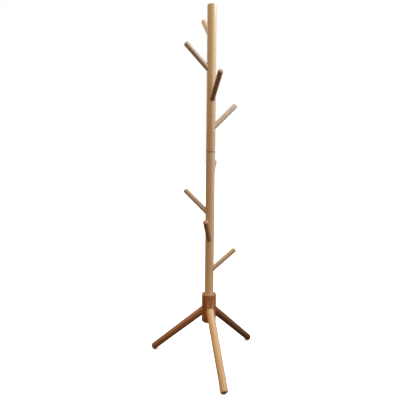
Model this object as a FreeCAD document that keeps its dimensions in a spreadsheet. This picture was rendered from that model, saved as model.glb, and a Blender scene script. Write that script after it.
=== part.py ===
import FreeCAD, Part
import os
import re
import Sketcher

# A standing coat rack of turned wood: a round pole in two sections, eight round pegs that rise from
# the pole at a slant, and a round hub that holds the pole and three splayed, tapered legs.
# Origin: on the pole's axis, at the floor. +Z up. The front leg points along -Y. Millimetres, degrees.

DIMENSIONS = (
    ("total_height", 1750, "floor to the top of the pole"),
    ("pole_dia", 45, "both pole sections"),
    ("joint_height", 1062, "where the upper section stands on the lower one"),
    ("pole_edge", 2, "chamfer on the pole's ends at the joint"),
    ("pole_top_edge", 2.5, "rounding of the pole's top rim"),
    ("hub_dia", 73, "turned hub at the base"),
    ("hub_base_height", 203, "underside of the hub"),
    ("hub_top_height", 348, "top of the hub"),
    ("hub_edge", 2.5, "rounding of both rims of the hub"),
    ("pole_socket_depth", 40, "how far the pole stands in the hub"),
    ("leg_splay", 48.75, "leg's axis from the vertical"),
    ("leg_meet_height", 285.8, "where the legs' axes meet the pole's axis"),
    ("leg_top_dia", 40, "leg at its seat in the hub"),
    ("leg_foot_dia", 35, "leg at the foot"),
    ("leg_seat", 31, "pole's axis to the leg's seated end, along the leg"),
    ("leg_reach", 418, "pole's axis to the foot's end, along the leg"),
    ("leg_edge", 5, "rounding of the foot's rim"),
    ("pad_thickness", 2.5, "felt pad under each foot"),
    ("pad_length", 18, "felt pad, across the leg"),
    ("pad_width", 8, "felt pad, along the leg"),
    ("pad_corner", 3.5, "felt pad's rounded corners"),
    ("pad_radius", 302.6, "pole's axis to the middle of a pad"),
    ("peg_tilt", 46, "peg's axis from the vertical"),
    ("peg_dia", 25, "round peg"),
    ("peg_seat", 19, "pole's axis to the peg's seated end, along the peg"),
    ("peg_reach", 180.6, "pole's axis to the peg's tip, along the peg"),
    ("peg_edge", 8.5, "rounding of the peg's tip"),
    ("upper_turn", 5.7, "the upper section's pegs, turned from the four row directions"),
    ("lower_turn", -22.5, "the lower section's pegs, turned from the four row directions"),
    ("upper_back_height", 1594, "peg's axis at the pole's axis"),
    ("upper_left_height", 1443, "peg's axis at the pole's axis"),
    ("upper_front_height", 1300, "peg's axis at the pole's axis"),
    ("upper_right_height", 1170, "peg's axis at the pole's axis"),
    ("lower_back_height", 896, "peg's axis at the pole's axis"),
    ("lower_left_height", 752, "peg's axis at the pole's axis"),
    ("lower_front_height", 616, "peg's axis at the pole's axis"),
    ("lower_right_height", 462, "peg's axis at the pole's axis"),
    ("wood_gap", 0.2, "radial clearance of a wooden end in its socket"),
    ("metal_gap", 0.1, "radial clearance of metal in its hole, thread for thread"),
    ("drill_spare", 2, "how much deeper a hole is than what goes in it"),
    ("peg_bolt_dia", 6, "hanger bolt of a peg"),
    ("peg_bolt_hold", 30, "its wood screw end, in the peg"),
    ("peg_insert_dia", 9.5, "threaded insert of a peg"),
    ("peg_insert_length", 12, "threaded insert of a peg"),
    ("leg_bolt_dia", 8, "hanger bolt of a leg"),
    ("leg_bolt_hold", 45, "its wood screw end, in the leg"),
    ("leg_insert_dia", 12, "threaded insert of a leg"),
    ("leg_insert_length", 14, "threaded insert of a leg"),
    ("joint_bolt_dia", 10, "hanger bolt of the pole's joint"),
    ("joint_bolt_hold", 45, "its wood screw end, in the upper section"),
    ("joint_insert_dia", 14, "threaded insert at the top of the lower section"),
    ("joint_insert_length", 25, "threaded insert at the top of the lower section"),
    ("hub_bolt_dia", 8, "bolt that pulls the pole down into the hub"),
    ("hub_bolt_flats", 13, "its hexagon head, across the flats"),
    ("hub_bolt_head", 5.3, "height of its head"),
    ("hub_bolt_length", 96, "shank under the head"),
    ("hub_insert_dia", 12, "threaded insert at the foot of the lower section"),
    ("hub_insert_length", 20, "threaded insert at the foot of the lower section"),
    ("washer_dia", 18, "washer under the bolt's head"),
    ("washer_thickness", 1.6, "washer under the bolt's head"),
    ("counterbore_dia", 20, "recess under the hub for the bolt's head"),
    ("counterbore_depth", 30, "recess under the hub for the bolt's head"),
)

# Each peg's side of the pole, as quarter turns from +X.
SIDES = {"back": 1, "left": 2, "front": 3, "right": 0}
# Each leg's direction, in degrees from +X.
LEGS = {"front": -90, "left": 150, "right": 30}

doc = FreeCAD.newDocument("coat_rack")
sheet = doc.addObject("Spreadsheet::Sheet", "Sizes")
sub_parts = []


def fill_sheet():
    for row, (alias, value, note) in enumerate(DIMENSIONS, start=1):
        sheet.set(f"A{row}", alias)
        sheet.set(f"B{row}", str(value))
        sheet.setAlias(f"B{row}", alias)
        sheet.set(f"C{row}", note)
    doc.recompute()


def bound(text):
    """Expression text with every sheet alias written as Sizes.alias."""
    aliases = {alias for alias, _, _ in DIMENSIONS}
    return re.sub(r"\w+", lambda word: "Sizes." * (word[0] in aliases) + word[0], text)


def origin_plane(body, role):
    return next(plane for plane in body.Origin.OriginFeatures if plane.Role == role)


def polygon_sketch(body, role, corners):
    """Closed outline of straight edges; each corner is an (x, y) pair of expressions, "0" on an axis."""
    sketch = body.newObject("Sketcher::SketchObject", body.Name + "_outline")
    sketch.AttachmentSupport = (origin_plane(body, role), "")
    sketch.MapMode = "FlatFace"
    places = [[float(sheet.evalExpression(bound(value))) for value in corner] for corner in corners]
    for start, end in zip(places, places[1:] + places[:1]):
        sketch.addGeometry(Part.LineSegment(FreeCAD.Vector(*start, 0), FreeCAD.Vector(*end, 0)))
    count = len(corners)
    for edge in range(count):
        sketch.addConstraint(Sketcher.Constraint("Coincident", edge, 2, (edge + 1) % count, 1))
    for edge, (across, along) in enumerate(corners):
        for kind, value, axis in (("DistanceX", across, -2), ("DistanceY", along, -1)):
            if value == "0":
                sketch.addConstraint(Sketcher.Constraint("PointOnObject", edge, 1, axis))
            else:
                start = places[edge][0 if kind == "DistanceX" else 1]
                index = sketch.addConstraint(Sketcher.Constraint(kind, -1, 1, edge, 1, start))
                sketch.setExpression(f"Constraints[{index}]", bound(value))
    return sketch


def place(piece, height, turn="0", tilt="0"):
    """Put a piece's own origin on the pole's axis, its +Z tilted off the vertical towards a turn."""
    rotation = f"rotation({bound(turn)}; {bound(tilt)}; 0)"
    piece.setExpression("Placement", f"placement(vector(0; 0; {bound(height)}); {rotation})")


def turned(name, corners):
    """A body of revolution about its own Z axis, from the corners of its half section."""
    body = doc.addObject("PartDesign::Body", name)
    sketch = polygon_sketch(body, "XZ_Plane", corners)
    turning = body.newObject("PartDesign::Revolution", name + "_turning")
    turning.Profile = sketch
    turning.ReferenceAxis = (sketch, ["V_Axis"])
    turning.Angle = 360
    sketch.Visibility = False
    doc.recompute()
    return body


def rim(shape, radius, height):
    """Names of the circular edges of this radius at this height on the piece's own axis."""
    names = []
    for number, edge in enumerate(shape.Edges, start=1):
        curve = edge.Curve
        if not isinstance(curve, Part.Circle):
            continue
        if abs(curve.Radius - radius) < 0.01 and abs(curve.Center.z - height) < 0.01:
            names.append(f"Edge{number}")
    return names


def dress_rims(body, kind, size, rims):
    """Round (Fillet) or bevel (Chamfer) the rims given as (radius, height) expressions."""
    base = body.Tip
    edges = []
    for radius, height in rims:
        at = [float(sheet.evalExpression(bound(value))) for value in (radius, height)]
        edges += rim(base.Shape, *at)
    if len(edges) != len(rims):
        raise RuntimeError(f"{body.Name}: found {len(edges)} rims of {len(rims)}")
    dressing = body.newObject("PartDesign::" + kind, f"{body.Name}_{kind.lower()}")
    dressing.Base = (base, edges)
    dressing.setExpression("Radius" if kind == "Fillet" else "Size", bound(size))
    doc.recompute()


def cut(name, base, tools):
    """The base with every tool cut out of it; the tools don't touch each other."""
    joined = doc.addObject("Part::Compound", name + "_tools")
    joined.Links = tools
    result = doc.addObject("Part::Cut", name + "_cut")
    result.Base = base
    result.Tool = joined
    return result


def group(name, pieces):
    """Identical fasteners that share one node, each still a solid of its own."""
    bundle = doc.addObject("Part::Compound", name + "_group")
    bundle.Links = pieces
    return bundle


def keep(piece, label):
    piece.Label = label
    sub_parts.append(piece)


def hanger_bolt(name, kind, seat):
    """Machine thread below the seat plane, wood screw thread above it, with a pointed end."""
    radius = f"{kind}_bolt_dia / 2"
    return turned(name, (
        ("0", f"{seat} - {kind}_insert_length"),
        (radius, f"{seat} - {kind}_insert_length"),
        (radius, f"{seat} + {kind}_bolt_hold - {kind}_bolt_dia"),
        ("0", f"{seat} + {kind}_bolt_hold"),
    ))


def threaded_insert(name, kind, top):
    """Brass sleeve, flush with the seat plane, that the bolt's machine thread screws into."""
    bore = f"{kind}_bolt_dia / 2 + metal_gap"
    outside = f"{kind}_insert_dia / 2"
    return turned(name, (
        (bore, f"{top} - {kind}_insert_length"),
        (outside, f"{top} - {kind}_insert_length"),
        (outside, top),
        (bore, top),
    ))


def socket_tool(name, kind, wood_dia, mouth):
    """What is cut away for a slanted end: its flat-bottomed socket, and the insert's hole below it."""
    hole = f"{kind}_insert_dia / 2 + metal_gap"
    wide = f"{wood_dia} / 2 + wood_gap"
    bottom = f"{kind}_seat - {kind}_insert_length - drill_spare"
    return turned(name, (
        ("0", bottom),
        (hole, bottom),
        (hole, f"{kind}_seat"),
        (wide, f"{kind}_seat"),
        (wide, mouth),
        ("0", mouth),
    ))


def make_pegs(section):
    """Four pegs round one pole section, with their bolts and inserts and their sockets' tools."""
    tools, bolts, inserts = [], [], []
    for side, quarter in SIDES.items():
        name = f"{section}_{side}"
        where = (f"{name}_height", f"{section}_turn + {90 * quarter}", "peg_tilt")
        bore = "peg_bolt_dia / 2 + metal_gap"
        peg = turned(name + "_peg", (
            (bore, "peg_seat"),
            ("peg_dia / 2", "peg_seat"),
            ("peg_dia / 2", "peg_reach"),
            ("0", "peg_reach"),
            ("0", "peg_seat + peg_bolt_hold + drill_spare"),
            (bore, "peg_seat + peg_bolt_hold"),
        ))
        dress_rims(peg, "Fillet", "peg_edge", [("peg_dia / 2", "peg_reach")])
        bolt = hanger_bolt(name + "_bolt", "peg", "peg_seat")
        insert = threaded_insert(name + "_insert", "peg", "peg_seat")
        tool = socket_tool(name + "_socket", "peg", "peg_dia", "peg_seat + peg_dia * 2")
        for piece in (peg, bolt, insert, tool):
            place(piece, *where)
        keep(peg, f"{section}_{side}_peg")
        tools.append(tool)
        bolts.append(bolt)
        inserts.append(insert)
    return tools, bolts, inserts


def make_lower_pole(tools):
    """Stands in the hub; an insert at each end, and four peg sockets."""
    foot = "hub_top_height - pole_socket_depth"
    foot_hole = "hub_insert_dia / 2 + metal_gap"
    top_hole = "joint_insert_dia / 2 + metal_gap"
    body = turned("lower_pole_turned", (
        (foot_hole, foot),
        ("pole_dia / 2", foot),
        ("pole_dia / 2", "joint_height"),
        (top_hole, "joint_height"),
        (top_hole, "joint_height - joint_insert_length - drill_spare"),
        ("0", "joint_height - joint_insert_length - drill_spare"),
        ("0", f"{foot} + hub_insert_length + drill_spare * 2"),
        (foot_hole, f"{foot} + hub_insert_length + drill_spare"),
    ))
    rims = [("pole_dia / 2", foot), ("pole_dia / 2", "joint_height")]
    dress_rims(body, "Chamfer", "pole_edge", rims)
    keep(cut("lower_pole", body, tools), "lower_pole")


def make_upper_pole(tools):
    """Stands on the lower section, held by the joint bolt screwed up into its foot."""
    bore = "joint_bolt_dia / 2 + metal_gap"
    body = turned("upper_pole_turned", (
        (bore, "joint_height"),
        ("pole_dia / 2", "joint_height"),
        ("pole_dia / 2", "total_height"),
        ("0", "total_height"),
        ("0", "joint_height + joint_bolt_hold + drill_spare"),
        (bore, "joint_height + joint_bolt_hold"),
    ))
    dress_rims(body, "Chamfer", "pole_edge", [("pole_dia / 2", "joint_height")])
    dress_rims(body, "Fillet", "pole_top_edge", [("pole_dia / 2", "total_height")])
    keep(cut("upper_pole", body, tools), "upper_pole")


def make_pole_joint():
    keep(hanger_bolt("pole_joint_stud", "joint", "joint_height"), "pole_joint_bolt")
    keep(threaded_insert("pole_joint_sleeve", "joint", "joint_height"), "pole_joint_insert")


def make_leg(side):
    """Tapered leg: bored for its bolt at the top, rounded at the foot, with a small flat for its pad."""
    bore = "leg_bolt_dia / 2 + metal_gap"
    leg = turned(side + "_leg_turned", (
        (bore, "leg_seat"),
        ("leg_top_dia / 2", "leg_seat"),
        ("leg_foot_dia / 2", "leg_reach"),
        ("0", "leg_reach"),
        ("0", "leg_seat + leg_bolt_hold + drill_spare"),
        (bore, "leg_seat + leg_bolt_hold"),
    ))
    dress_rims(leg, "Fillet", "leg_edge", [("leg_foot_dia / 2", "leg_reach")])
    cut_pad_flat(leg)
    return leg


def cut_pad_flat(leg):
    """Level cut across the foot's lowest edge, one pad's thickness above the floor."""
    uncut = leg.Shape.Volume
    beyond = "leg_foot_dia / 4"
    drop = "(leg_meet_height - pad_thickness - leg_reach * cos(leg_splay)) / sin(leg_splay)"
    inner = f"{drop} - {beyond} / tan(leg_splay)"
    outer = "leg_foot_dia"
    sketch = polygon_sketch(leg, "XZ_Plane", (
        (inner, f"leg_reach + {beyond}"),
        (outer, f"leg_reach + {beyond}"),
        (outer, f"leg_reach + {beyond} - ({outer} - {drop} + {beyond} / tan(leg_splay)) * tan(leg_splay)"),
    ))
    flat = leg.newObject("PartDesign::Pocket", leg.Name + "_flat")
    flat.Profile = sketch
    flat.Type = "ThroughAll"
    flat.Midplane = True
    sketch.Visibility = False
    doc.recompute()
    if not 0 < uncut - leg.Shape.Volume < 0.01 * uncut:
        raise RuntimeError(f"{leg.Name}: the pad's flat isn't cut")


def make_pad(side):
    """Felt pad with rounded corners, between the foot's flat and the floor."""
    body = doc.addObject("PartDesign::Body", side + "_pad_body")
    near, far = "pad_radius - pad_width / 2", "pad_radius + pad_width / 2"
    left, right = "-pad_length / 2", "pad_length / 2"
    sketch = polygon_sketch(body, "XY_Plane", ((near, left), (far, left), (far, right), (near, right)))
    felt = body.newObject("PartDesign::Pad", side + "_pad_felt")
    felt.Profile = sketch
    felt.setExpression("Length", bound("pad_thickness"))
    sketch.Visibility = False
    doc.recompute()
    corners = body.newObject("PartDesign::Fillet", side + "_pad_corners")
    corners.Base = (felt, upright_edges(felt.Shape))
    corners.setExpression("Radius", bound("pad_corner"))
    return body


def upright_edges(shape):
    """Names of the straight edges that run along Z."""
    edges = enumerate(shape.Edges, start=1)
    return [f"Edge{number}" for number, edge in edges if edge.BoundBox.ZLength == edge.Length]


def make_legs():
    """Three legs with their pads, bolts and inserts; returns the hub's socket tools."""
    tools, bolts, inserts = [], [], []
    for side, turn in LEGS.items():
        leg = make_leg(side)
        pad = make_pad(side)
        bolt = hanger_bolt(side + "_leg_stud", "leg", "leg_seat")
        insert = threaded_insert(side + "_leg_sleeve", "leg", "leg_seat")
        tool = socket_tool(side + "_leg_socket", "leg", "leg_top_dia", "leg_seat + leg_top_dia * 2")
        for piece in (leg, bolt, insert, tool):
            place(piece, "leg_meet_height", str(turn), "180 - leg_splay")
        place(pad, "0", str(turn))
        keep(leg, side + "_leg")
        keep(pad, side + "_foot_pad")
        tools.append(tool)
        bolts.append(bolt)
        inserts.append(insert)
    keep(group("leg_studs", bolts), "leg_hanger_bolts")
    keep(group("leg_sleeves", inserts), "leg_inserts")
    return tools


def make_hub(tools):
    """Turned hub: pole socket above, bolt hole through, counterbore below, three slanted sockets."""
    socket = "pole_dia / 2 + wood_gap"
    socket_floor = "hub_top_height - pole_socket_depth"
    bore = "hub_bolt_dia / 2 + wood_gap"
    recess = "counterbore_dia / 2"
    recess_roof = "hub_base_height + counterbore_depth"
    body = turned("hub_turned", (
        (recess, "hub_base_height"),
        ("hub_dia / 2", "hub_base_height"),
        ("hub_dia / 2", "hub_top_height"),
        (socket, "hub_top_height"),
        (socket, socket_floor),
        (bore, socket_floor),
        (bore, recess_roof),
        (recess, recess_roof),
    ))
    rims = [("hub_dia / 2", "hub_base_height"), ("hub_dia / 2", "hub_top_height")]
    dress_rims(body, "Fillet", "hub_edge", rims)
    keep(cut("hub", body, tools), "base_hub")


def make_hub_bolt():
    """Hexagon bolt, its washer, and the insert in the pole's foot that it screws into."""
    under_head = "hub_base_height + counterbore_depth - washer_thickness"
    shank = doc.addObject("Part::Cylinder", "hub_bolt_shank")
    shank.setExpression("Radius", bound("hub_bolt_dia / 2"))
    shank.setExpression("Height", bound("hub_bolt_length + hub_bolt_head"))
    place(shank, f"{under_head} - hub_bolt_head")
    head = doc.addObject("Part::Prism", "hub_bolt_hexagon")
    head.Polygon = 6
    head.setExpression("Circumradius", bound("hub_bolt_flats / 2 / cos(30)"))
    head.setExpression("Height", bound("hub_bolt_head"))
    place(head, f"{under_head} - hub_bolt_head")
    bolt = doc.addObject("Part::Fuse", "hub_bolt_whole")
    bolt.Base = shank
    bolt.Tool = head
    keep(bolt, "hub_bolt")
    washer_bore = "hub_bolt_dia / 2 + wood_gap"
    washer = turned("hub_washer_ring", (
        (washer_bore, "0"),
        ("washer_dia / 2", "0"),
        ("washer_dia / 2", "washer_thickness"),
        (washer_bore, "washer_thickness"),
    ))
    place(washer, under_head)
    keep(washer, "hub_washer")
    sleeve_top = "hub_top_height - pole_socket_depth + hub_insert_length"
    keep(threaded_insert("lower_pole_sleeve", "hub", sleeve_top), "lower_pole_insert")


def make_coat_rack():
    upper_tools, upper_bolts, upper_inserts = make_pegs("upper")
    lower_tools, lower_bolts, lower_inserts = make_pegs("lower")
    keep(group("peg_studs", upper_bolts + lower_bolts), "peg_hanger_bolts")
    keep(group("peg_sleeves", upper_inserts + lower_inserts), "peg_inserts")
    make_upper_pole(upper_tools)
    make_lower_pole(lower_tools)
    make_pole_joint()
    leg_tools = make_legs()
    make_hub(leg_tools)
    make_hub_bolt()


def check_model():
    for item in doc.Objects:
        if "Invalid" in item.State or "Error" in item.State:
            raise RuntimeError(f"{item.Label} failed: {item.State}")
    for piece in sub_parts:
        if piece.Shape.isNull() or not piece.Shape.isValid():
            raise RuntimeError(f"{piece.Label} has no valid shape")


def export_parts():
    os.makedirs("parts", exist_ok=True)
    for piece in sub_parts:
        piece.Shape.exportStep(f"parts/{piece.Label}.step")
        box = piece.Shape.BoundBox
        volume = piece.Shape.Volume / 1000
        print(f"{piece.Label:20s} solids {len(piece.Shape.Solids)}  {volume:9.2f} cm3  "
              f"z {box.ZMin:8.2f} to {box.ZMax:8.2f}")


fill_sheet()
make_coat_rack()
doc.recompute()
check_model()
export_parts()
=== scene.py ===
import math
import random

import bmesh
import bpy
from mathutils import Matrix, Vector


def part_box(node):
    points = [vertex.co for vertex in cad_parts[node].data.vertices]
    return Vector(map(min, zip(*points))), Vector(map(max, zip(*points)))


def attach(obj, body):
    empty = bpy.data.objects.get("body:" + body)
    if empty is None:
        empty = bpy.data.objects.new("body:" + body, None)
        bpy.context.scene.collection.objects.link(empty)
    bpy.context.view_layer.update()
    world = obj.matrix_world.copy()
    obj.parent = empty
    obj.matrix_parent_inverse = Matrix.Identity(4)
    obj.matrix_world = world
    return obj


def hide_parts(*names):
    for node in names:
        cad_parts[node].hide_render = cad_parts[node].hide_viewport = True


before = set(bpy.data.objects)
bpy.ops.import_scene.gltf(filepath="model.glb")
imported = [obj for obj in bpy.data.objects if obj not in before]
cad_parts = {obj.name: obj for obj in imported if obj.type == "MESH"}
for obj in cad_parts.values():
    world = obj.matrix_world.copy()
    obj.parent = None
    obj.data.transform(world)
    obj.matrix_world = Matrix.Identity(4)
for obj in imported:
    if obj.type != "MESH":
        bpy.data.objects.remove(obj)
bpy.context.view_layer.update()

bpy.ops.object.select_all(action="DESELECT")

# ---- Hub ----
# The block that everything stands in: a short, thick round of beech, turned, stained red-brown and
# lacquered. It is bored from above for the pole and from below for the bolt and its washer, right
# through between the two, and has three slanted, flat-bottomed sockets for the legs.
ROUND_STEPS = 128
TOUCH = 1e-5
SIZE_SLACK = 0.0005
SOFT_STEPS = 6
SMOOTH_BELOW = math.radians(28)
HUB_RIM = 0.0025
MOUTH_RIM = 0.0006
POLE_RADIUS = 0.0225
WOOD_GAP = 0.0002
POLE_SOCKET_DEPTH = 0.040
BOLT_HOLE_RADIUS = 0.0042
RECESS_RADIUS = 0.010
RECESS_DEPTH = 0.030
LEG_TOP_RADIUS = 0.020
LEG_SEAT = 0.031
LEG_SPLAY = math.radians(48.75)
LEG_TURNS = {"front": -90, "left": 150, "right": 30}
LEG_INSERT_RADIUS = 0.0061
LEG_INSERT_LENGTH = 0.014
DRILL_SPARE = 0.002
# painted shade: faces marked with this go all the way to the stain colour
FULL_PAINTED_SHADE = 3.0
# no painted light or shade
NO_PAINTED_LIGHT = (1, 1, 1)


class Tone:
    """A number, vector or colour in a material; arithmetic on numbers adds Math nodes."""

    def __init__(self, tree, socket=None):
        self.tree = tree
        self.socket = socket

    def node(self, kind, settings=None, **inputs):
        """Any other node: its settings first, then its inputs by name, or by number as _0, _1."""
        made = self.tree.nodes.new(kind)
        for name, setting in (settings or {}).items():
            setattr(made, name, setting)
        for name, given in inputs.items():
            key = int(name[1:]) if name[0] == "_" else name.replace("_", " ")
            if isinstance(given, Tone):
                self.tree.links.new(given.socket, made.inputs[key])
            else:
                made.inputs[key].default_value = given
        return made

    def out(self, output, kind, settings=None, **inputs):
        """The same, as the Tone of one output."""
        return Tone(self.tree, self.node(kind, settings, **inputs).outputs[output])

    def math(self, operation, *others):
        numbers = {f"_{place}": number for place, number in enumerate((self, *others))}
        return self.out(0, "ShaderNodeMath", {"operation": operation}, **numbers)

    def __add__(self, other):
        return self.math("ADD", other)

    def __sub__(self, other):
        return self.math("SUBTRACT", other)

    def __mul__(self, other):
        return self.math("MULTIPLY", other)

    def __rsub__(self, other):
        return (self - other) * -1

    __radd__ = __add__
    __rmul__ = __mul__

    def between(self, low, high):
        """0 at low and below, 1 at high and above, with a soft rise."""
        rise = {"interpolation_type": "SMOOTHSTEP"}
        return self.out(0, "ShaderNodeMapRange", rise, Value=self, From_Min=low, From_Max=high)

    def moved(self, scale=(1, 1, 1), turn=(0, 0, 0), shift=(0, 0, 0)):
        return self.out(0, "ShaderNodeMapping", Vector=self, Scale=scale, Rotation=turn, Location=shift)

    def noise(self, cells, detail=2.0, roughness=0.5):
        """Noise with that many cells per metre along X, Y and Z."""
        return self.out(
            0, "ShaderNodeTexNoise", Vector=self.moved(cells), Scale=1.0, Detail=detail, Roughness=roughness)

    def mix(self, first, second):
        """The first colour where this number is 0, the second where it is 1."""
        first, second = (c if isinstance(c, Tone) else (*c, 1) for c in (first, second))
        return self.out(2, "ShaderNodeMix", {"data_type": "RGBA"}, _0=self, _6=first, _7=second)


def finish(name, **constants):
    """A new material and its shader, with what is the same all over set on the shader itself."""
    material = bpy.data.materials.new(name)
    material.use_nodes = True
    shader = material.node_tree.nodes["Principled BSDF"]
    for socket, constant in constants.items():
        shader.inputs[socket.replace("_", " ")].default_value = constant
    return material, shader, Tone(material.node_tree)


def feed(shader, **tones):
    for socket, tone in tones.items():
        tone.tree.links.new(tone.socket, shader.inputs[socket.replace("_", " ")])


def wood(name, pale, deep, stain, wear_and_rim_highlight, end_soak_and_shade=0.34):
    """Lacquered wood. Its board lies along Z of the piece's own "board" attribute, and its colour is
    multiplied by another per-piece attribute that holds painted light and shade. Rims show the rim
    colour, which is worn wood and, on the hub, a painted highlight. End grain takes that share of the
    stain, which is real soak and, on the hub's flat ends, painted shade as well."""
    material, shader, start = finish(name, IOR=1.5, Coat_Roughness=0.3, Coat_IOR=1.5)
    board = start.out("Vector", "ShaderNodeAttribute", {"attribute_name": "board"})
    painted_light_and_shade = start.out("Vector", "ShaderNodeAttribute", {"attribute_name": "painted_light_and_shade"})
    end = start.out("Fac", "ShaderNodeAttribute", {"attribute_name": "end"})
    edge_wear_and_highlight = start.out("Fac", "ShaderNodeAttribute", {"attribute_name": "edge_wear_and_highlight"})

    # growth rings round a pith that lies outside the piece and leans a little
    wander = board.noise((9, 9, 1.7), 1.0) - 0.5
    leaning = board.moved(turn=(0.013, 0.009, 0), shift=(0.061, 0.034, 0))
    flat = leaning.out(0, "ShaderNodeVectorMath", {"operation": "MULTIPLY"}, _0=leaning, _1=(1, 1, 0))
    pith = flat.out("Value", "ShaderNodeVectorMath", {"operation": "LENGTH"}, _0=flat)
    ring = ((pith + wander * 0.012) * 310).math("FRACT")
    late = ring.between(0.35, 0.93) * (1 - ring.between(0.94, 1.0))

    # fibres, pores and the slow change of tone along a board
    fibre = board.noise((900, 900, 14), 3.0, 0.6)
    streak = board.noise((150, 150, 2.6), 2.0)
    cloud = board.noise((22, 22, 1.1), 1.0)
    pore = board.noise((1500, 1500, 95), 1.0).between(0.63, 0.72)
    fleck = board.noise((420, 420, 60), 1.0).between(0.64, 0.76)

    depth = (late * 0.34 + fibre.between(0.3, 0.7) * 0.18 + streak.between(0.28, 0.72) * 0.36
             + cloud.between(0.3, 0.7) * 0.26 - 0.08)
    colour = depth.mix(pale, deep)
    colour = (pore * 0.38 + fleck * 0.16).mix(colour, stain)
    # end grain darkens towards the stain: real soak, and painted shade on the hub's flat ends and the upper
    # pole's foot
    colour = (end * end_soak_and_shade).mix(colour, stain)
    # rims lighten towards the rim colour: worn wood, and on the hub a painted highlight
    colour = (edge_wear_and_highlight * 0.5).mix(colour, wear_and_rim_highlight)
    # painted light and shade: each piece's colour is multiplied by its own painted tone
    colour = colour.out(0, "ShaderNodeVectorMath", {"operation": "MULTIPLY"}, _0=colour, _1=painted_light_and_shade)
    roughness = 0.40 + (fibre - 0.5) * 0.14 + pore * 0.16 + end * 0.3 - edge_wear_and_highlight * 0.08
    height = fibre * 0.5 + late * 0.25 - pore * 0.9
    bump = start.out(0, "ShaderNodeBump", Strength=0.35, Distance=0.00018, Height=height)
    feed(shader, Base_Color=colour, Roughness=roughness, Coat_Weight=0.5 - end * 0.45, Normal=bump)
    return material


def pick(kind, fits):
    """In edit mode: selects only the edges or the faces that fit."""
    bpy.ops.mesh.select_mode(type={"edges": "EDGE", "faces": "FACE"}[kind])
    bpy.ops.mesh.select_all(action="DESELECT")
    shape = bmesh.from_edit_mesh(bpy.context.object.data)
    for part in getattr(shape, kind):
        if fits(part):
            part.select_set(True)
    bmesh.update_edit_mesh(bpy.context.object.data)


def round_blank(name, radius, low, high, steps=ROUND_STEPS):
    """An upright round blank on the axis, open for shaping in edit mode."""
    bpy.ops.object.select_all(action="DESELECT")
    bpy.ops.mesh.primitive_cylinder_add(
        vertices=steps, radius=radius, depth=high - low, location=(0, 0, (low + high) / 2))
    bpy.ops.object.transform_apply()
    blank = bpy.context.object
    blank.name = blank.data.name = name
    bpy.ops.object.mode_set(mode="EDIT")
    return blank


def dress_rim(radius, height, size, steps):
    """Bevels the round rim of that radius at that height: one step is a chamfer, more round it."""
    def on_rim(edge):
        return all(abs(v.co.z - height) < TOUCH and abs(v.co.xy.length - radius) < TOUCH for v in edge.verts)
    pick("edges", on_rim)
    bpy.ops.mesh.bevel(offset=size, segments=steps, profile=0.5)


def bore(radius, height, depth, up, steps=ROUND_STEPS, point=0.0):
    """Bores a hole into the flat face at that height, up or down, with a drill's point at its end."""
    middle = Vector((0, 0, height))
    pick("faces", lambda face: (face.calc_center_median() - middle).length < TOUCH)
    shape = bmesh.from_edit_mesh(bpy.context.object.data)
    outside = next(face for face in shape.faces if face.select).verts[0].co.xy.length
    bpy.ops.mesh.inset(thickness=(outside - radius) * math.cos(math.pi / steps))
    way = 1 if up else -1
    bpy.ops.mesh.extrude_region_move(TRANSFORM_OT_translate={"value": (0, 0, way * depth)})
    if point:
        bpy.ops.mesh.extrude_region_move(TRANSFORM_OT_translate={"value": (0, 0, way * point)})
        bpy.ops.mesh.merge(type="CENTER")


def shaped(piece):
    """Back to object mode, with faces outward and smooth except over real corners."""
    bpy.ops.mesh.select_all(action="SELECT")
    bpy.ops.mesh.remove_doubles(threshold=1e-6)
    bpy.ops.mesh.normals_make_consistent(inside=False)
    bpy.ops.object.mode_set(mode="OBJECT")
    bpy.ops.object.shade_smooth_by_angle(angle=SMOOTH_BELOW)
    return piece


def slanted(height, turn, tilt):
    """The place of a piece that leaves the pole's axis at that height, turned and tilted."""
    return (Matrix.Translation((0, 0, height)) @ Matrix.Rotation(math.radians(turn), 4, "Z")
            @ Matrix.Rotation(tilt, 4, "Y"))


def put(piece, place):
    """Moves a finished shape to its place, and leaves its object at the origin."""
    bpy.ops.object.select_all(action="DESELECT")
    piece.select_set(True)
    bpy.context.view_layer.objects.active = piece
    piece.matrix_world = place
    bpy.ops.object.transform_apply()
    return piece


def cut_out(piece, tools):
    """Cuts each tool's shape out of the piece, and puts the tool away."""
    bpy.ops.object.select_all(action="DESELECT")
    piece.select_set(True)
    bpy.context.view_layer.objects.active = piece
    for tool in tools:
        cutter = piece.modifiers.new("socket", "BOOLEAN")
        cutter.operation = "DIFFERENCE"
        cutter.solver = "EXACT"
        cutter.object = tool
        bpy.ops.object.modifier_apply(modifier="socket")
        bpy.data.objects.remove(tool)
    bpy.ops.object.shade_smooth_by_angle(angle=SMOOTH_BELOW)
    return piece


def socket_bit(radius, seat, hole_radius, hole_depth, place):
    """What a slanted socket removes: flat-bottomed, with the threaded insert's hole below."""
    bit = round_blank("socket_bit", radius + WOOD_GAP, seat, seat + radius * 4)
    pick("faces", lambda face: face.normal.z < -0.99)
    bpy.ops.mesh.inset(thickness=(radius + WOOD_GAP - hole_radius) * math.cos(math.pi / ROUND_STEPS))
    bpy.ops.mesh.extrude_region_move(TRANSFORM_OT_translate={"value": (0, 0, -hole_depth)})
    return put(shaped(bit), place)


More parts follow.
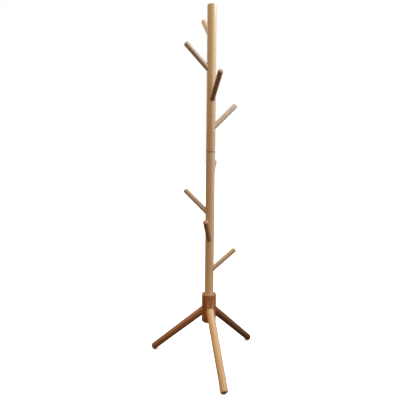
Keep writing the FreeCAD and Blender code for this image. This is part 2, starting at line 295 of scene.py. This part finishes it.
def mark_board(piece, place, number, seat_painted_light=NO_PAINTED_LIGHT, far_painted_light=None, painted_shade_below=-1.0):
    """Stores where each point lies in its own board, its end grain, its rim edges for wear and painted
    highlight, and the piece's painted light and shade from its seat to its far end. Faces below one
    height get the fullest painted shade."""
    chance = random.Random(number)
    roll = Matrix.Rotation(chance.uniform(0, math.tau), 4, "Z")
    shift = Vector((chance.uniform(-0.02, 0.02), chance.uniform(-0.02, 0.02), chance.uniform(0, 4)))
    in_board = roll @ place.inverted()
    along = place.to_3x3() @ Vector((0, 0, 1))
    mesh = piece.data
    for name, kind, domain in (("board", "FLOAT_VECTOR", "POINT"), ("edge_wear_and_highlight", "FLOAT", "POINT"),
                               ("painted_light_and_shade", "FLOAT_VECTOR", "POINT"), ("end", "FLOAT", "FACE")):
        mesh.attributes.new(name, kind, domain)
    board, edge_wear_and_highlight, painted_light_and_shade, end = (mesh.attributes[name] for name in ("board", "edge_wear_and_highlight", "painted_light_and_shade", "end"))
    heights = [(place.inverted() @ vertex.co).z for vertex in mesh.vertices]
    seat_painted_light, far_painted_light = Vector(seat_painted_light), Vector(far_painted_light or seat_painted_light)
    for vertex in mesh.vertices:
        board.data[vertex.index].vector = in_board @ vertex.co + shift
        lean = abs(vertex.normal.dot(along))
        edge_wear_and_highlight.data[vertex.index].value = 1 - min(1, abs(lean - 0.7) / 0.55)
        share = (heights[vertex.index] - min(heights)) / (max(heights) - min(heights))
        painted_light_and_shade.data[vertex.index].vector = seat_painted_light.lerp(far_painted_light, share)
    for face in mesh.polygons:
        end.data[face.index].value = max(0, abs(face.normal.dot(along)) - 0.6) / 0.4
        # painted shade: the faces below that height go fully to the stain colour
        if face.center.z < painted_shade_below:
            end.data[face.index].value = FULL_PAINTED_SHADE


def stands_for(piece, node, material):
    """Gives the piece its finish, makes sure that it is as large as its CAD node, puts it on the root body
    and hides the node.
    """
    piece.data.materials.clear()
    piece.data.materials.append(material)
    low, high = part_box(node)
    for axis in range(3):
        values = [vertex.co[axis] for vertex in piece.data.vertices]
        if max(abs(min(values) - low[axis]), abs(max(values) - high[axis])) > SIZE_SLACK:
            raise ValueError(f"{piece.name} isn't as large as {node}")
    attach(piece, "root")
    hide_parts(node)


hub_low, hub_high = (corner.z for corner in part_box("base_hub"))
hub_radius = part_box("base_hub")[1].x
leg_meet = (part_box("front_leg")[1].z + LEG_SEAT * math.cos(LEG_SPLAY)
            - LEG_TOP_RADIUS * math.sin(LEG_SPLAY))

hub = round_blank("hub_block", hub_radius, hub_low, hub_high)
bore(POLE_RADIUS + WOOD_GAP, hub_high, POLE_SOCKET_DEPTH, up=False)
bore(RECESS_RADIUS, hub_low, RECESS_DEPTH, up=True)
recess_roof = hub_low + RECESS_DEPTH
socket_floor = hub_high - POLE_SOCKET_DEPTH
bore(BOLT_HOLE_RADIUS, recess_roof, TOUCH * 2, up=True)
bore(BOLT_HOLE_RADIUS, socket_floor, TOUCH * 2, up=False)


def bolt_hole_end(face):
    middle = face.calc_center_median()
    return middle.xy.length < TOUCH and recess_roof < middle.z < socket_floor


pick("faces", bolt_hole_end)
bpy.ops.mesh.bridge_edge_loops()
dress_rim(hub_radius, hub_low, HUB_RIM, SOFT_STEPS)
dress_rim(hub_radius, hub_high, HUB_RIM, SOFT_STEPS)
dress_rim(POLE_RADIUS + WOOD_GAP, hub_high, MOUTH_RIM, 2)
dress_rim(RECESS_RADIUS, hub_low, MOUTH_RIM, 2)
shaped(hub)
leg_places = {side: slanted(leg_meet, turn, math.pi - LEG_SPLAY) for side, turn in LEG_TURNS.items()}
cut_out(hub, [
    socket_bit(LEG_TOP_RADIUS, LEG_SEAT, LEG_INSERT_RADIUS, LEG_INSERT_LENGTH + DRILL_SPARE, place)
    for place in leg_places.values()])
mark_board(hub, Matrix.Identity(4), 1)
# The rim colour, far paler than this wood, is a painted highlight on the hub's rounded rims, and the high
# end-grain share is painted shade on its flat ends along with real soak.
hub_wood = wood(
    "hub_wood", pale=(0.40, 0.130, 0.034), deep=(0.26, 0.075, 0.017), stain=(0.09, 0.027, 0.009),
    wear_and_rim_highlight=(0.86, 0.52, 0.30), end_soak_and_shade=0.85)
stands_for(hub, "base_hub", hub_wood)

# ---- Legs ----
# Three tapered rounds that splay out from the hub, each screwed into its socket with a hanger bolt.
# The foot's rim is rounded over, and its lowest edge planed level to take the felt pad.
LEG_FOOT_RADIUS = 0.0175
LEG_REACH = 0.418
FOOT_RIM = 0.005
LEG_BOLT_HOLE_RADIUS = 0.0041
LEG_BOLT_HOLD = 0.045
SEAT_RIM = 0.0004
# Painted light and shade on each leg, from seat to foot: the left leg painted darker and the right leg much
# darker, as shade.
LEG_PAINTED_LIGHT = {
    "front": ((0.97, 0.97, 0.97), (0.90, 0.90, 0.90)),
    "left": ((0.63, 0.43, 0.38), (0.52, 0.34, 0.30)),
    "right": ((0.27, 0.20, 0.18), (0.24, 0.185, 0.19)),
}



def copy_of(piece, name):
    """A copy of a finished shape, with its own mesh."""
    twin = piece.copy()
    twin.data = piece.data.copy()
    twin.name = twin.data.name = name
    bpy.context.collection.objects.link(twin)
    return twin


leg = round_blank("leg", LEG_TOP_RADIUS, LEG_SEAT, LEG_REACH)
pick("faces", lambda face: face.normal.z > 0.99)
slimmer = LEG_FOOT_RADIUS / LEG_TOP_RADIUS
bpy.ops.transform.resize(value=(slimmer, slimmer, 1), center_override=(0, 0, LEG_REACH))
bore(LEG_BOLT_HOLE_RADIUS, LEG_SEAT, LEG_BOLT_HOLD, up=True, point=DRILL_SPARE)
dress_rim(LEG_FOOT_RADIUS, LEG_REACH, FOOT_RIM, 8)
dress_rim(LEG_TOP_RADIUS, LEG_SEAT, SEAT_RIM, 1)
up_for_leg = leg_places["front"].to_3x3().inverted() @ Vector((0, 0, 1))
pad_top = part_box("front_foot_pad")[1].z
bpy.ops.mesh.select_all(action="SELECT")
bpy.ops.mesh.bisect(
    plane_co=up_for_leg * (pad_top - leg_meet), plane_no=up_for_leg, use_fill=True, clear_inner=True)
shaped(leg)

leg_wood = wood(
    "leg_wood", pale=(0.66, 0.40, 0.18), deep=(0.48, 0.26, 0.10), stain=(0.15, 0.062, 0.025),
    wear_and_rim_highlight=(0.66, 0.40, 0.20))
for number, (side, place) in enumerate(leg_places.items(), start=2):
    piece = put(copy_of(leg, side + "_leg_round"), place)
    mark_board(piece, place, number, *LEG_PAINTED_LIGHT[side])
    stands_for(piece, side + "_leg", leg_wood)
bpy.data.objects.remove(leg)

# ---- Foot pads ----
# Die-cut pads of pressed wool felt, glued under the feet. Their corners are rounded and their edges
# a little soft.
PAD_CORNER = 0.0035
PAD_EDGE = 0.0005
PAD_SIZE = (0.008, 0.018)

pad_low, pad_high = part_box("front_foot_pad")
pad_out = -(pad_low.y + pad_high.y) / 2
bpy.ops.object.select_all(action="DESELECT")
bpy.ops.mesh.primitive_cube_add(size=1, location=(pad_out, 0, (pad_low.z + pad_high.z) / 2))
pad = bpy.context.object
pad.scale = (*PAD_SIZE, pad_high.z - pad_low.z)
bpy.ops.object.transform_apply()
bpy.ops.object.mode_set(mode="EDIT")
pick("edges", lambda edge: abs(edge.verts[0].co.z - edge.verts[1].co.z) > TOUCH)
bpy.ops.mesh.bevel(offset=PAD_CORNER, segments=8, profile=0.5)
pick("edges", lambda edge: sorted(abs(face.normal.z) > 0.9 for face in edge.link_faces) == [False, True])
bpy.ops.mesh.bevel(offset=PAD_EDGE, segments=3, profile=0.5)
shaped(pad)

felt, felt_shader, felt_start = finish("pad_felt", Roughness=0.95, Sheen_Weight=0.4, Sheen_Roughness=0.5)
felt_place = felt_start.out("Object", "ShaderNodeTexCoord")
hairs = felt_place.noise((2400, 2400, 900), 3.0, 0.65)
tufts = felt_place.noise((420, 420, 420), 2.0)
felt_colour = (hairs * 0.6 + tufts * 0.4).between(0.3, 0.7).mix((0.085, 0.060, 0.044), (0.20, 0.155, 0.12))
felt_bump = felt_start.out(0, "ShaderNodeBump", Strength=0.6, Distance=0.0004, Height=hairs + tufts * 0.5)
feed(felt_shader, Base_Color=felt_colour, Normal=felt_bump)
for side, turn in LEG_TURNS.items():
    piece = put(copy_of(pad, side + "_pad_felt"), slanted(0, turn, 0))
    stands_for(piece, side + "_foot_pad", felt)
bpy.data.objects.remove(pad)

# ---- Lower pole ----
# A straight round of pale, lacquered wood that stands in the hub. Both ends are chamfered and bored
# for a threaded insert, and four flat-bottomed sockets slant down into it for the pegs.
POLE_EDGE = 0.002
PEG_RADIUS = 0.0125
PEG_SEAT = 0.019
PEG_TILT = math.radians(46)
PEG_INSERT_RADIUS = 0.00485
PEG_INSERT_LENGTH = 0.012
HUB_INSERT_RADIUS = 0.0061
HUB_INSERT_LENGTH = 0.020
JOINT_INSERT_RADIUS = 0.0071
JOINT_INSERT_LENGTH = 0.025
SOCKET_BAND = (-0.006, 0.048)
# Painted light and shade on the lower pole: lighter at its foot, darker towards its top.
LOWER_POLE_PAINTED_LIGHT = ((1.06, 1.0, 0.98), (0.79, 0.71, 0.70))
SECTION_TURNS = {"upper": 5.7, "lower": -22.5}
SIDE_TURNS = {"back": 90, "left": 180, "front": 270, "right": 0}


def peg_places(section):
    """Where the section's four pegs stand, by side."""
    places = {}
    for side, turn in SIDE_TURNS.items():
        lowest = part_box(f"{section}_{side}_peg")[0].z
        height = lowest - PEG_SEAT * math.cos(PEG_TILT) + PEG_RADIUS * math.sin(PEG_TILT)
        places[side] = slanted(height, SECTION_TURNS[section] + turn, PEG_TILT)
    return places


def ring_cuts(heights):
    """Edge rings round an upright piece, so that a socket's cut stays within its own band."""
    for height in heights:
        bpy.ops.mesh.select_all(action="SELECT")
        bpy.ops.mesh.bisect(plane_co=(0, 0, height), plane_no=(0, 0, 1))


def bands(section):
    """Heights just below and above each of the section's peg sockets."""
    seats = [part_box(f"{section}_{side}_peg")[0].z for side in SIDE_TURNS]
    return [seat + gap for seat in seats for gap in SOCKET_BAND]


def drill_pegs(pole, section):
    return cut_out(pole, [
        socket_bit(PEG_RADIUS, PEG_SEAT, PEG_INSERT_RADIUS, PEG_INSERT_LENGTH + DRILL_SPARE, place)
        for place in peg_places(section).values()])


pole_low, pole_high = (corner.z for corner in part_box("lower_pole"))
lower_pole = round_blank("lower_pole_round", POLE_RADIUS, pole_low, pole_high)
bore(HUB_INSERT_RADIUS, pole_low, HUB_INSERT_LENGTH + DRILL_SPARE, up=True, point=DRILL_SPARE)
bore(JOINT_INSERT_RADIUS, pole_high, JOINT_INSERT_LENGTH + DRILL_SPARE, up=False)
dress_rim(POLE_RADIUS, pole_low, POLE_EDGE, 1)
dress_rim(POLE_RADIUS, pole_high, POLE_EDGE, 1)
ring_cuts(bands("lower"))
shaped(lower_pole)
drill_pegs(lower_pole, "lower")
mark_board(lower_pole, Matrix.Identity(4), 5, *LOWER_POLE_PAINTED_LIGHT)
pole_wood = wood(
    "pole_wood", pale=(0.72, 0.50, 0.29), deep=(0.56, 0.35, 0.17), stain=(0.17, 0.075, 0.030),
    wear_and_rim_highlight=(0.76, 0.55, 0.34))
stands_for(lower_pole, "lower_pole", pole_wood)

# ---- Upper pole ----
# The same round again, screwed down on the lower one with a hanger bolt in its foot. Its foot is
# painted dark, chamfer and all, as painted shade at the joint. The top rim is rounded over.
TOP_RIM = 0.0025
# how far up from the joint the painted shade reaches
PAINTED_SHADE_FOOT = 0.0042
# Painted light and shade on the upper pole: darker at its foot, lighter towards its top.
UPPER_POLE_PAINTED_LIGHT = ((0.80, 0.67, 0.56), (0.95, 0.885, 0.66))
JOINT_HOLE_RADIUS = 0.0051
JOINT_BOLT_HOLD = 0.045

joint, top = (corner.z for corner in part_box("upper_pole"))
upper_pole = round_blank("upper_pole_round", POLE_RADIUS, joint, top)
bore(JOINT_HOLE_RADIUS, joint, JOINT_BOLT_HOLD, up=True, point=DRILL_SPARE)
dress_rim(POLE_RADIUS, joint, POLE_EDGE, 1)
dress_rim(POLE_RADIUS, top, TOP_RIM, SOFT_STEPS)
ring_cuts(bands("upper") + [joint + PAINTED_SHADE_FOOT])
shaped(upper_pole)
drill_pegs(upper_pole, "upper")
mark_board(upper_pole, Matrix.Identity(4), 6, *UPPER_POLE_PAINTED_LIGHT, painted_shade_below=joint + PAINTED_SHADE_FOOT)
stands_for(upper_pole, "upper_pole", pole_wood)

# ---- Pegs ----
# Eight round pegs of the same pale wood, screwed into their sockets with hanger bolts. The outer
# end is rounded well over, so that it doesn't mark a coat.
PEG_REACH = 0.1806
PEG_RIM = 0.0085
PEG_BOLT_HOLE_RADIUS = 0.0031
PEG_BOLT_HOLD = 0.030
PEG_STEPS = 96
# Painted light and shade, one per peg: the upper front and lower back pegs painted darker as shade, the
# lower right peg painted lighter, the rest a little tinted.
PEG_PAINTED_LIGHT = {
    "upper": {"back": (0.97, 0.85, 0.77), "left": (0.96, 0.90, 0.90), "front": (0.66, 0.42, 0.29),
              "right": (0.98, 0.92, 0.94)},
    "lower": {"back": (0.66, 0.56, 0.58), "left": (0.85, 0.79, 0.84), "front": (0.84, 0.60, 0.48),
              "right": (1.18, 1.2, 1.14)},
}

peg = round_blank("peg", PEG_RADIUS, PEG_SEAT, PEG_REACH, PEG_STEPS)
bore(PEG_BOLT_HOLE_RADIUS, PEG_SEAT, PEG_BOLT_HOLD, up=True, steps=PEG_STEPS, point=DRILL_SPARE)
dress_rim(PEG_RADIUS, PEG_REACH, PEG_RIM, 8)
dress_rim(PEG_RADIUS, PEG_SEAT, SEAT_RIM, 1)
shaped(peg)
peg_wood = wood(
    "peg_wood", pale=(0.62, 0.47, 0.32), deep=(0.48, 0.34, 0.20), stain=(0.19, 0.085, 0.036),
    wear_and_rim_highlight=(0.66, 0.52, 0.38))
number = 7
for section in SECTION_TURNS:
    for side, place in peg_places(section).items():
        piece = put(copy_of(peg, f"{section}_{side}_peg_round"), place)
        mark_board(piece, place, number, PEG_PAINTED_LIGHT[section][side])
        stands_for(piece, f"{section}_{side}_peg", peg_wood)
        number += 1
bpy.data.objects.remove(peg)

# ---- Bolts and inserts ----
# Zinc-plated steel and brass, all inside the wood: a hanger bolt in each peg, each leg and the
# pole's joint, with the insert that it screws into, and one hexagon bolt up through the hub.
HEAD_CHAMFER = 0.0006
SHANK_RADIUS = 0.004
HEAD_HEIGHT = 0.0053
HEAD_TURN = 30
WASHER_HOLE_RADIUS = 0.0042
WASHER_EDGE = 0.0002
BOLT_STEPS = 48
WASHER_STEPS = 64


def metal(name, bright, dull):
    material, shader, start = finish(name, Metallic=1.0)
    place = start.out("Object", "ShaderNodeTexCoord")
    bloom = place.noise((160, 160, 160), 2.0).between(0.3, 0.7)
    turning = place.noise((60, 60, 5200), 1.0)
    bump = start.out(0, "ShaderNodeBump", Strength=0.25, Distance=0.00005, Height=turning)
    feed(shader, Base_Color=bloom.mix(bright, dull), Roughness=0.26 + bloom * 0.16 + turning * 0.08,
         Normal=bump)
    return material


zinc = metal("zinc_steel", (0.66, 0.67, 0.69), (0.50, 0.51, 0.54))
brass = metal("insert_brass", (0.83, 0.62, 0.29), (0.68, 0.47, 0.19))

bolt_low, bolt_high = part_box("hub_bolt")
head_radius = bolt_high.x
bolt = round_blank("hub_hex_bolt", head_radius, bolt_low.z, bolt_low.z + HEAD_HEIGHT, 6)
pick("edges", lambda edge: all(abs(v.co.z - bolt_low.z) < TOUCH for v in edge.verts))
bpy.ops.mesh.bevel(offset=HEAD_CHAMFER, segments=2, profile=0.5)
put(shaped(bolt), slanted(0, HEAD_TURN, 0))
shank = round_blank("shank", SHANK_RADIUS, bolt_low.z + HEAD_HEIGHT / 2, bolt_high.z, BOLT_STEPS)
dress_rim(SHANK_RADIUS, bolt_high.z, HEAD_CHAMFER, 1)
shaped(shank)
bpy.context.view_layer.objects.active = bolt
joined = bolt.modifiers.new("joined", "BOOLEAN")
joined.operation = "UNION"
joined.solver = "EXACT"
joined.object = shank
bpy.ops.object.select_all(action="DESELECT")
bolt.select_set(True)
bpy.ops.object.modifier_apply(modifier="joined")
bpy.data.objects.remove(shank)
bpy.ops.object.shade_smooth_by_angle(angle=SMOOTH_BELOW)
stands_for(bolt, "hub_bolt", zinc)

washer_low, washer_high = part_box("hub_washer")
washer = round_blank("hub_round_washer", washer_high.x, washer_low.z, washer_high.z, WASHER_STEPS)
pick("faces", lambda face: abs(face.normal.z) > 0.99)
bpy.ops.mesh.inset(thickness=(washer_high.x - WASHER_HOLE_RADIUS) * math.cos(math.pi / WASHER_STEPS))
bpy.ops.mesh.bridge_edge_loops()
dress_rim(washer_high.x, washer_low.z, WASHER_EDGE, 2)
dress_rim(washer_high.x, washer_high.z, WASHER_EDGE, 2)
shaped(washer)
stands_for(washer, "hub_washer", zinc)

hidden = {zinc: ("peg_hanger_bolts", "leg_hanger_bolts", "pole_joint_bolt"),
          brass: ("peg_inserts", "leg_inserts", "pole_joint_insert", "lower_pole_insert")}
for plating, nodes in hidden.items():
    for node in nodes:
        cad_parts[node].data.materials.clear()
        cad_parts[node].data.materials.append(plating)

# ---- Studio ----
# A plain pale floor that runs out to a white surround, and soft, even light. The camera stands at
# chest height a little under two metres away, so that the front leg points just right of it.
EYE = Vector((-0.425, -1.797, 1.030))
HEADING = math.radians(11.76)
LOOK_DOWN = math.radians(6.27)
LEAN = math.radians(0.43)
LENS_MM = 33.63

bpy.ops.object.camera_add(location=EYE)
camera = bpy.context.object
camera.name = "camera"
camera.matrix_world = (
    Matrix.Translation(EYE) @ Matrix.Rotation(-HEADING, 4, "Z")
    @ Matrix.Rotation(math.pi / 2 - LOOK_DOWN, 4, "X") @ Matrix.Rotation(LEAN, 4, "Z"))
camera.data.sensor_width = 36
camera.data.lens = LENS_MM
bpy.context.scene.camera = camera
bpy.context.scene.view_settings.view_transform = "Standard"

bpy.ops.mesh.primitive_circle_add(vertices=96, radius=60, fill_type="NGON", location=(0, 0, 0))
floor = bpy.context.object
floor.name = "studio_floor"
floor_paint, floor_shader, floor_start = finish("floor_paint", Roughness=0.9, Specular_IOR_Level=0.1)
floor_place = floor_start.out("Object", "ShaderNodeTexCoord")
feed(floor_shader, Base_Color=floor_place.noise((2, 2, 2), 1.0).mix((0.86, 0.86, 0.86), (0.88, 0.88, 0.88)))
floor.data.materials.append(floor_paint)
floor.visible_diffuse = False
floor.visible_glossy = False
floor.visible_shadow = False

RIGHT = Vector((math.cos(HEADING), -math.sin(HEADING), 0))
FRONT = Vector((-math.sin(HEADING), -math.cos(HEADING), 0))
UP = Vector((0, 0, 1))
MIDDLE = UP * 0.95
DAYLIGHT = (0.63, 0.81, 1.0)


def softbox(name, place, aim, size, power):
    bpy.ops.object.light_add(type="AREA", location=place)
    light = bpy.context.object
    light.name = name
    light.data.shape = "RECTANGLE"
    light.data.size, light.data.size_y = size
    light.data.energy = power
    light.data.color = DAYLIGHT
    light.rotation_euler = (aim - place).to_track_quat("-Z", "Y").to_euler()
    light.visible_camera = False


softbox("side_softbox", RIGHT * 1.7 + UP * 1.4, MIDDLE, (0.9, 1.9), 14.2)
softbox("front_softbox", RIGHT * 1.4 + FRONT * 1.2 + UP * 1.7, MIDDLE, (0.9, 1.4), 10.0)
softbox("high_softbox", RIGHT * 0.9 + UP * 2.5, UP * 1.2, (0.8, 0.8), 21.8)
softbox("top_softbox", FRONT * 1.1 + UP * 2.8, UP * 0.6, (1.2, 1.0), 6.8)
softbox("back_softbox", RIGHT * -1.4 + FRONT * -1.2 + UP * 1.7, MIDDLE, (0.9, 1.4), 6.8)

lit_floor = bpy.data.collections.new("lit_floor")
lit_floor.objects.link(floor)
bpy.ops.object.light_add(type="SUN", location=(0, 0, 4))
floor_sun = bpy.context.object
floor_sun.name = "floor_sun"
floor_sun.data.energy = 4.2
floor_sun.data.angle = math.radians(100)
floor_sun.light_linking.receiver_collection = lit_floor

surround = bpy.data.worlds.new("surround")
bpy.context.scene.world = surround
surround.use_nodes = True
surround.node_tree.nodes.clear()
sky = Tone(surround.node_tree)
height_of = sky.out("Z", "ShaderNodeSeparateXYZ", _0=sky.out("Generated", "ShaderNodeTexCoord"))
upward = height_of.between(-0.18, 0.25)
room = upward.mix((0.055, 0.032, 0.020), (1.0, 0.80, 0.57))
glow = sky.out(0, "ShaderNodeBackground", Color=room, Strength=0.88)
white = sky.out(0, "ShaderNodeBackground", Color=(1, 1, 1, 1), Strength=1.0)
seen = sky.out("Is Camera Ray", "ShaderNodeLightPath")
sky.node("ShaderNodeOutputWorld", _0=sky.out(0, "ShaderNodeMixShader", _0=seen, _1=glow, _2=white))
